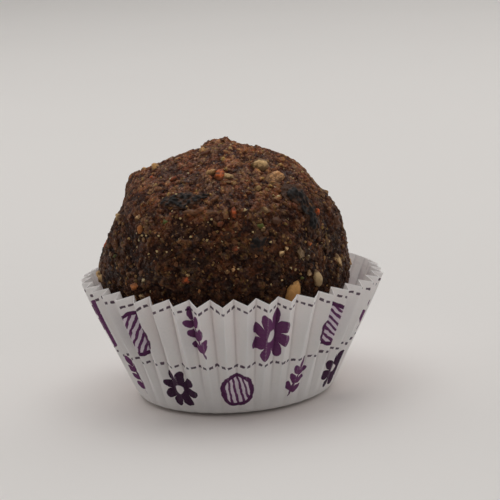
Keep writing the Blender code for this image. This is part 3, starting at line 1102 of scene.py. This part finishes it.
def wall_point(share, turn):
    """A point of the wall. share is 0 at the base and 1 at the rim, and turn counts flutes."""
    fold = math.floor(2.0 * turn)
    part = 2.0 * turn - fold
    slip, pull = FOLDS[fold % len(FOLDS)]
    next_slip, next_pull = FOLDS[(fold + 1) % len(FOLDS)]
    slipped = turn + share * (slip + (next_slip - slip) * part)
    mean_rim_radius = CASE_RIM_RADIUS - 0.5 * RIM_FLUTE_DEPTH
    mean_radius = CASE_BASE_RADIUS + (mean_rim_radius - CASE_BASE_RADIUS) * share
    radius = mean_radius + flute_depth(share, mean_radius) * (flute_phase(turn, share) - 0.5)
    radius += share * (pull + (next_pull - pull) * part)
    length = PAPER_SLANT * share
    height = math.sqrt(max(0.0, length**2 - (radius - CASE_BASE_RADIUS) ** 2))
    angle = 2.0 * math.pi * slipped / FLUTES
    x = radius * math.sin(angle)
    y = -radius * math.cos(angle)
    lean = share * (RIM_LEAN_X * x + RIM_LEAN_Y * y)
    return Vector((x + RIM_SHIFT_X * share, y, height + lean))


def pleated(spot):
    """Where a point of the flat disc goes. The bend at the base's edge is rounded."""
    past = math.hypot(spot.x, spot.y) - CASE_BASE_RADIUS
    turn = math.atan2(spot.x, -spot.y) / (2.0 * math.pi) * FLUTES
    up = 0.5 * (past + math.hypot(past, BASE_EDGE_ROUNDING))
    inward = Vector((-spot.x, -spot.y, 0.0)).normalized() * (up - past)
    if past < -BEND_START:
        return Vector((spot.x, spot.y, 0.0))
    settled = smooth_step((past + BEND_START) / BEND_SPAN)
    raised = wall_point(up / PAPER_SLANT, turn) + inward
    return Vector((spot.x, spot.y, 0.0)).lerp(raised, settled)


for vertex in case.data.vertices:
    vertex.co = pleated(vertex.co)
select_only(case)
bpy.ops.object.mode_set(mode="EDIT")
bpy.ops.mesh.select_all(action="SELECT")
bpy.ops.mesh.normals_make_consistent(inside=False)
bpy.ops.object.mode_set(mode="OBJECT")
lowest_face = min(case.data.polygons, key=lambda face: face.center.z)
if lowest_face.normal.z > 0:
    case.data.flip_normals()
print("pleated case:", [round(side / MM, 1) for side in case.dimensions], "mm")

# %% [markdown]
# The print is a plain pattern of daisies, striped discs and sprigs in two purple inks. It is not a
# picture: each motif is a sum on the flat sheet's coordinates, in millimetres. Three groups draw all of
# it, an oval, a daisy and a ring of stitches, each with its size. Ink soaks into paper, so edges are a
# little soft.

# %% Build the motif groups
INK_BLEED = 0.06
PETALS = 8
PETAL_LENGTH_SHARE = 0.5
PETAL_ROUNDNESS = 0.6
EYE_EDGE = (0.24, 0.19)
STITCH_PITCH = 1.25
STITCH_SHARE = 0.62
STITCH_HALF_WIDTH = 0.21
STITCH_END_BLUR = 0.04
PLACE_INPUTS = (
    ("Place mm", "NodeSocketVector", None),
    ("Middle X", "NodeSocketFloat", 0.0),
    ("Middle Y", "NodeSocketFloat", 0.0),
    ("Turn", "NodeSocketFloat", 0.0),
)


def from_middle(tree, sockets):
    """The place as seen from the motif's middle, turned with the motif."""
    middle = tree.nodes.new("ShaderNodeCombineXYZ")
    tree.links.new(sockets["Middle X"], middle.inputs["X"])
    tree.links.new(sockets["Middle Y"], middle.inputs["Y"])
    turned = tree.nodes.new("ShaderNodeVectorRotate")
    turned.rotation_type = "Z_AXIS"
    turned.invert = True
    shifted = vector_calc(tree, "SUBTRACT", sockets["Place mm"], middle.outputs["Vector"])
    tree.links.new(shifted, turned.inputs["Vector"])
    tree.links.new(sockets["Turn"], turned.inputs["Angle"])
    return turned.outputs["Vector"]


def inked(tree, distance):
    """A mask of the side where the distance to an outline is below zero, with a soft edge."""
    return ramp(tree, distance, INK_BLEED, -INK_BLEED)


oval, oval_in, oval_out = new_group(
    "oval",
    PLACE_INPUTS
    + (
        ("Half Length", "NodeSocketFloat", 1.0),
        ("Half Width", "NodeSocketFloat", 1.0),
        ("Half Line", "NodeSocketFloat", 0.2),
    ),
    (("Fill", "NodeSocketFloat"), ("Line", "NodeSocketFloat")),
)
seen = from_middle(oval, oval_in)
halves = oval.nodes.new("ShaderNodeCombineXYZ")
halves.inputs["Z"].default_value = 1.0
oval.links.new(oval_in["Half Length"], halves.inputs["X"])
oval.links.new(oval_in["Half Width"], halves.inputs["Y"])
far = vector_calc(oval, "LENGTH", seen)
share_out = vector_calc(oval, "LENGTH", vector_calc(oval, "DIVIDE", seen, halves.outputs["Vector"]))
outline_far = calc(oval, "DIVIDE", far, calc(oval, "MAXIMUM", share_out, 0.001))
distance = calc(oval, "SUBTRACT", far, outline_far)
beside = calc(oval, "SUBTRACT", calc(oval, "ABSOLUTE", distance), oval_in["Half Line"])
oval.links.new(inked(oval, distance), oval_out["Fill"])
oval.links.new(inked(oval, beside), oval_out["Line"])

daisy, daisy_in, daisy_out = new_group(
    "daisy",
    PLACE_INPUTS + (("Radius", "NodeSocketFloat", 4.0),),
    (("Fill", "NodeSocketFloat"), ("Eye", "NodeSocketFloat")),
)
seen = from_middle(daisy, daisy_in)
parts = daisy.nodes.new("ShaderNodeSeparateXYZ")
daisy.links.new(seen, parts.inputs["Vector"])
bearing = calc(daisy, "ARCTAN2", parts.outputs["Y"], parts.outputs["X"])
lobes = calc(daisy, "ABSOLUTE", calc(daisy, "COSINE", calc(daisy, "MULTIPLY", bearing, 0.5 * PETALS)))
petal = calc(daisy, "MULTIPLY", calc(daisy, "POWER", lobes, PETAL_ROUNDNESS), PETAL_LENGTH_SHARE)
reach = calc(daisy, "ADD", petal, 1.0 - PETAL_LENGTH_SHARE)
far = vector_calc(daisy, "LENGTH", seen)
distance = calc(daisy, "SUBTRACT", far, calc(daisy, "MULTIPLY", reach, daisy_in["Radius"]))
eye = ramp(daisy, calc(daisy, "DIVIDE", far, daisy_in["Radius"]), *EYE_EDGE)
daisy.links.new(inked(daisy, distance), daisy_out["Fill"])
daisy.links.new(eye, daisy_out["Eye"])

stitches, stitches_in, stitches_out = new_group(
    "stitches",
    (("Place mm", "NodeSocketVector", None), ("Radius", "NodeSocketFloat", 4.0)),
    (("Line", "NodeSocketFloat"),),
)
parts = stitches.nodes.new("ShaderNodeSeparateXYZ")
stitches.links.new(stitches_in["Place mm"], parts.inputs["Vector"])
bearing = calc(stitches, "ARCTAN2", parts.outputs["Y"], parts.outputs["X"])
run = calc(stitches, "DIVIDE", calc(stitches, "MULTIPLY", bearing, stitches_in["Radius"]), STITCH_PITCH)
dash = calc(stitches, "ABSOLUTE", calc(stitches, "SUBTRACT", calc(stitches, "FRACT", run), 0.5))
half_dash = 0.5 * STITCH_SHARE
dash = ramp(stitches, dash, half_dash + STITCH_END_BLUR, half_dash - STITCH_END_BLUR)
far = vector_calc(stitches, "LENGTH", stitches_in["Place mm"])
off_ring = calc(stitches, "ABSOLUTE", calc(stitches, "SUBTRACT", far, stitches_in["Radius"]))
thread = inked(stitches, calc(stitches, "SUBTRACT", off_ring, STITCH_HALF_WIDTH))
stitches.links.new(calc(stitches, "MULTIPLY", thread, dash), stitches_out["Line"])
print("motif groups:", [group.name for group in (oval, daisy, stitches)])

# %% [markdown]
# Two rows of motifs run round the wall at even steps, staggered, with a line of stitches between them
# and another below the rim. All places follow from that rule, so a few numbers lay out the sheet. The
# back half repeats the front half turned half round. The pleats squeeze the pattern on the wall,
# because the print was there before the folds.

# %% Lay out the print
# Each row: how far out on the sheet in mm, size, first bearing in degrees, and its motifs
MOTIF_ROWS = (
    (31.0, 1.0, -75.0, ("mid daisy", "disc", "sprig", "mid daisy", "disc", "sprig")),
    (21.3, 0.78, -60.0, ("sprig", "dark daisy", "disc", "sprig", "dark daisy")),
)
BEARING_STEP = 30.0
MOTIF_TILT = 18.0
DAISY_RADIUS = 4.6
DISC_RADIUS = 3.6
DISC_HALF_LINE = 0.34
STEM_HALF_LENGTH = 3.6
STEM_HALF_WIDTH = 0.32
LEAF_HALF_LENGTH = 1.35
LEAF_HALF_WIDTH = 0.68
LEAF_STEPS = (-2.2, -0.1, 2.0)
LEAF_ANGLE = 44.0
TIP_LEAF_REACH = 0.7
STITCH_LINES = (25.8, 36.1)
STRIPE_PITCH = 0.95
STRIPE_ANGLE = 12.0
STRIPE_EDGE = (-0.1, 0.3)
DISC_OUTLINE_DARKNESS = 0.45
STITCH_DARKNESS = 0.92
HAND_SHAKE = 0.9


def strongest(tree, masks):
    """Where any of the masks is."""
    most = masks[0]
    for mask in masks[1:]:
        most = calc(tree, "MAXIMUM", most, mask)
    return most


def place_oval(tree, place, middle, turn, half_length, half_width, half_line=0.2):
    """One oval of the print, with its long way turned from the sheet's X."""
    return use_group(
        tree,
        oval,
        Place_mm=place,
        Middle_X=middle.x,
        Middle_Y=middle.y,
        Turn=turn,
        Half_Length=half_length,
        Half_Width=half_width,
        Half_Line=half_line,
    )


def sprig_masks(tree, place, middle, turn, size):
    """The masks of a stem with pairs of leaves and one leaf at its tip."""
    leaf = (LEAF_HALF_LENGTH, LEAF_HALF_WIDTH)
    along = Vector((math.cos(turn), math.sin(turn)))
    across = Vector((-along.y, along.x))
    slant = math.radians(LEAF_ANGLE)
    ovals = [(middle, turn, STEM_HALF_LENGTH, STEM_HALF_WIDTH)]
    for side in (-1.0, 1.0):
        reach = (along * math.cos(slant) + across * side * math.sin(slant)) * LEAF_HALF_LENGTH
        for step in LEAF_STEPS:
            ovals.append((middle + (along * step + reach) * size, turn + side * slant, *leaf))
    tip = middle + along * (STEM_HALF_LENGTH + TIP_LEAF_REACH * LEAF_HALF_LENGTH) * size
    ovals.append((tip, turn, *leaf))
    masks = []
    for spot, lean, half_length, half_width in ovals:
        made = place_oval(tree, place, spot, lean, size * half_length, size * half_width)
        masks.append(made["Fill"])
    return masks


sheet_print, print_in, print_out = new_group(
    "sheet_print",
    (("Sheet mm", "NodeSocketVector", None),),
    (("Tint", "NodeSocketFloat"), ("Mid Ink", "NodeSocketFloat"), ("Dark Ink", "NodeSocketFloat")),
)
sides = sheet_print.nodes.new("ShaderNodeSeparateXYZ")
sheet_print.links.new(print_in["Sheet mm"], sides.inputs["Vector"])
half_turn = calc(sheet_print, "MULTIPLY", calc(sheet_print, "SIGN", sides.outputs["Y"]), -1.0)
place = vector_calc(sheet_print, "SCALE", print_in["Sheet mm"], half_turn)
shake = sheet_print.nodes.new("ShaderNodeTexNoise")
shake.inputs["Scale"].default_value = 0.55
shake.inputs["Detail"].default_value = 3.0
sheet_print.links.new(print_in["Sheet mm"], shake.inputs["Vector"])
shake = vector_calc(sheet_print, "SUBTRACT", shake.outputs["Color"], (0.5, 0.5, 0.5))
place = vector_calc(sheet_print, "ADD", place, vector_calc(sheet_print, "SCALE", shake, HAND_SHAKE))

diagonal = sheet_print.nodes.new("ShaderNodeVectorRotate")
diagonal.rotation_type = "Z_AXIS"
diagonal.inputs["Angle"].default_value = math.radians(STRIPE_ANGLE)
sheet_print.links.new(place, diagonal.inputs["Vector"])
waves = vector_calc(sheet_print, "SCALE", diagonal.outputs["Vector"], 2.0 * math.pi / STRIPE_PITCH)
waves = vector_calc(sheet_print, "SINE", waves)
wave_parts = sheet_print.nodes.new("ShaderNodeSeparateXYZ")
sheet_print.links.new(waves, wave_parts.inputs["Vector"])
stripes = ramp(sheet_print, wave_parts.outputs["X"], *STRIPE_EDGE)

tint_masks = []
mid_masks = []
dark_masks = []
clear_masks = []
for far, size, first_bearing, motifs in MOTIF_ROWS:
    for number, look in enumerate(motifs):
        bearing = math.radians(first_bearing + BEARING_STEP * number)
        middle = Vector((far * math.sin(bearing), -far * math.cos(bearing)))
        tilt = math.radians(MOTIF_TILT if number % 2 else -MOTIF_TILT)
        turn = bearing - 0.5 * math.pi + tilt
        if look == "sprig":
            mid_masks.extend(sprig_masks(sheet_print, place, middle, turn, size))
        elif look == "disc":
            radius = size * DISC_RADIUS
            made = place_oval(sheet_print, place, middle, turn, radius, radius, DISC_HALF_LINE)
            tint_masks.append(made["Fill"])
            mid_masks.append(made["Line"])
            dark_masks.append(calc(sheet_print, "MULTIPLY", made["Line"], DISC_OUTLINE_DARKNESS))
        else:
            made = use_group(
                sheet_print,
                daisy,
                Place_mm=place,
                Middle_X=middle.x,
                Middle_Y=middle.y,
                Turn=turn,
                Radius=size * DAISY_RADIUS,
            )
            (dark_masks if look == "dark daisy" else mid_masks).append(made["Fill"])
            clear_masks.append(made["Eye"])
for far in STITCH_LINES:
    made = use_group(sheet_print, stitches, Place_mm=place, Radius=far)
    dark_masks.append(calc(sheet_print, "MULTIPLY", made["Line"], STITCH_DARKNESS))
clear = calc(sheet_print, "SUBTRACT", 1.0, strongest(sheet_print, clear_masks))
tint = strongest(sheet_print, tint_masks)
mid_masks.append(calc(sheet_print, "MULTIPLY", tint, stripes))
mid = calc(sheet_print, "MULTIPLY", strongest(sheet_print, mid_masks), clear)
dark = calc(sheet_print, "MULTIPLY", strongest(sheet_print, dark_masks), clear)
sheet_print.links.new(tint, print_out["Tint"])
sheet_print.links.new(mid, print_out["Mid Ink"])
sheet_print.links.new(dark, print_out["Dark Ink"])
print("print has", sum(len(row[3]) for row in MOTIF_ROWS), "motifs on each half")

# %% [markdown]
# Case paper is thin, white and a little waxy, so some light comes through it and the print shows
# faintly on its inner side. The outer and the inner side get one material each, from the same groups.
# Solidify gives the sheet its thickness and hands the inner side the second material.

# %% Colour the paper
PAPER_WHITE = (0.98, 0.88, 0.87)
TINT_PINK = (0.80, 0.69, 0.78)
MID_PURPLE = (0.130, 0.028, 0.118)
DARK_PURPLE = (0.036, 0.003, 0.036)
WARM_CLOUD = (0.94, 0.84, 0.80)
GREY_FIBRE = (0.80, 0.77, 0.75)
# The white of worn fibres and of the painted highlight on the flute ridges
WORN_AND_HIGHLIGHT_WHITE = (0.98, 0.93, 0.92)
# Painted shade in the flute grooves: its grey and how strongly it darkens
GROOVE_PAINTED_SHADE = (0.52, 0.52, 0.52)
GROOVE_SHADE_STRENGTH = 0.3
INSIDE_INK = 0.07
LIGHT_DEPTH = 0.3 * MM
CASE_SMOOTH_ANGLE = 65.0

creases, crease_in, crease_out = new_group(
    "creases",
    (("Sheet mm", "NodeSocketVector", None),),
    (("Ridge", "NodeSocketFloat"), ("Groove", "NodeSocketFloat")),
)
parts = creases.nodes.new("ShaderNodeSeparateXYZ")
creases.links.new(crease_in["Sheet mm"], parts.inputs["Vector"])
backwards = calc(creases, "MULTIPLY", parts.outputs["Y"], -1.0)
bearing = calc(creases, "ARCTAN2", parts.outputs["X"], backwards)
turn = calc(creases, "FRACT", calc(creases, "MULTIPLY", bearing, FLUTES / (2.0 * math.pi)))
far = vector_calc(creases, "LENGTH", crease_in["Sheet mm"])
flute_width = calc(creases, "MULTIPLY", far, 2.0 * math.pi / FLUTES)
off_ridge = calc(creases, "ABSOLUTE", calc(creases, "SUBTRACT", turn, 0.5))
off_groove = calc(creases, "SUBTRACT", 0.5, off_ridge)
up_wall = ramp(creases, far, CASE_BASE_RADIUS / MM + 1.0, CASE_BASE_RADIUS / MM + 9.0)
ridge = ramp(creases, calc(creases, "MULTIPLY", off_ridge, flute_width), 0.24, 0.06)
groove = ramp(creases, calc(creases, "MULTIPLY", off_groove, flute_width), 0.45, 0.05)
creases.links.new(calc(creases, "MULTIPLY", ridge, up_wall), crease_out["Ridge"])
creases.links.new(calc(creases, "MULTIPLY", groove, up_wall), crease_out["Groove"])


def new_paper(name, ink_strength):
    """A paper material whose print has this strength."""
    material, tree, shader = new_material(name, 0.62, Specular_IOR_Level=0.1, Subsurface_Weight=1.0)
    sheet = tree.nodes.new("ShaderNodeUVMap")
    sheet.uv_map = "flat_sheet"
    place = vector_calc(tree, "SUBTRACT", sheet.outputs["UV"], (0.5, 0.5, 0.0))
    place = vector_calc(tree, "SCALE", place, SHEET_SPAN / MM)
    printed = use_group(tree, sheet_print, Sheet_mm=place)
    fibre = noise_value(tree, place, 2.6, detail=5.0, roughness=0.7)
    cloud = noise_value(tree, place, 0.25, detail=2.0)
    colour = mix_colour(tree, ramp(tree, cloud, 0.35, 0.7, 0.0, 0.35), PAPER_WHITE, WARM_CLOUD)
    colour = mix_colour(tree, ramp(tree, fibre, 0.4, 0.7, 0.0, 0.2), colour, GREY_FIBRE)
    uneven = ramp(tree, fibre, 0.25, 0.65, 1.0, 0.97)
    crease = use_group(tree, creases, Sheet_mm=place)
    # The flute ridges are whitened, partly as worn fibres and partly as a painted highlight along the crests
    ridge_wear_and_highlight = calc(tree, "MULTIPLY", crease["Ridge"], ramp(tree, fibre, 0.38, 0.62, 0.0, 0.16))
    colour = mix_colour(tree, calc(tree, "MULTIPLY", ridge_wear_and_highlight, 3.0), colour, WORN_AND_HIGHLIGHT_WHITE)
    kept = calc(tree, "MULTIPLY", uneven, calc(tree, "SUBTRACT", 1.0, ridge_wear_and_highlight))
    for mask, ink in (("Tint", TINT_PINK), ("Mid Ink", MID_PURPLE), ("Dark Ink", DARK_PURPLE)):
        amount = calc(tree, "MULTIPLY", calc(tree, "MULTIPLY", printed[mask], ink_strength), kept)
        colour = mix_colour(tree, amount, colour, ink)
    # Painted shade darkens the grooves of the flutes
    shaded = calc(tree, "MULTIPLY", crease["Groove"], GROOVE_SHADE_STRENGTH)
    colour = mix_colour(tree, shaded, colour, GROOVE_PAINTED_SHADE, "MULTIPLY")
    tree.links.new(colour, shader.inputs["Base Color"])
    bump = tree.nodes.new("ShaderNodeBump")
    bump.inputs["Strength"].default_value = 0.35
    bump.inputs["Distance"].default_value = 0.05 * MM
    tree.links.new(fibre, bump.inputs["Height"])
    tree.links.new(bump.outputs["Normal"], shader.inputs["Normal"])
    shader.inputs["Subsurface Radius"].default_value = (1.0, 1.0, 1.0)
    shader.inputs["Subsurface Scale"].default_value = LIGHT_DEPTH
    return material


case.data.materials.append(new_paper("printed_paper", 1.0))
case.data.materials.append(new_paper("paper_inside", INSIDE_INK))
select_only(case)
thickening = case.modifiers.new("paper", "SOLIDIFY")
thickening.thickness = PAPER_THICKNESS
thickening.offset = -1.0
thickening.material_offset = 1
thickening.material_offset_rim = 0
bpy.ops.object.modifier_apply(modifier="paper")
bpy.ops.object.shade_smooth_by_angle(angle=math.radians(CASE_SMOOTH_ANGLE))
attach(case, "root")
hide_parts("paper_case")
print("case has", len(case.data.polygons), "faces")

# %% [markdown]
# The floor and backdrop stay plain, so that nothing draws the eye from the sweet. A trace of unevenness
# keeps them from looking like an empty page. A paper base never lies quite flat, so the floor is a
# hair below it, and a thin dark line shows under its edge.

# %% Colour the floor
FLOOR_GAP = 0.3 * MM
FLOOR_GREY = (0.845, 0.825, 0.805)
FLOOR_PALER = (0.865, 0.845, 0.825)

floor_material, tree, shader = new_material("plain_floor", 0.85, Specular_IOR_Level=0.2)
soft = noise_value(tree, object_millimetres(tree), 0.008, detail=2.0)
colour = mix_colour(tree, soft, FLOOR_GREY, FLOOR_PALER)
tree.links.new(colour, shader.inputs["Base Color"])
sweep.data.materials.append(floor_material)
sweep.location.z = -FLOOR_GAP
print("floor coloured")
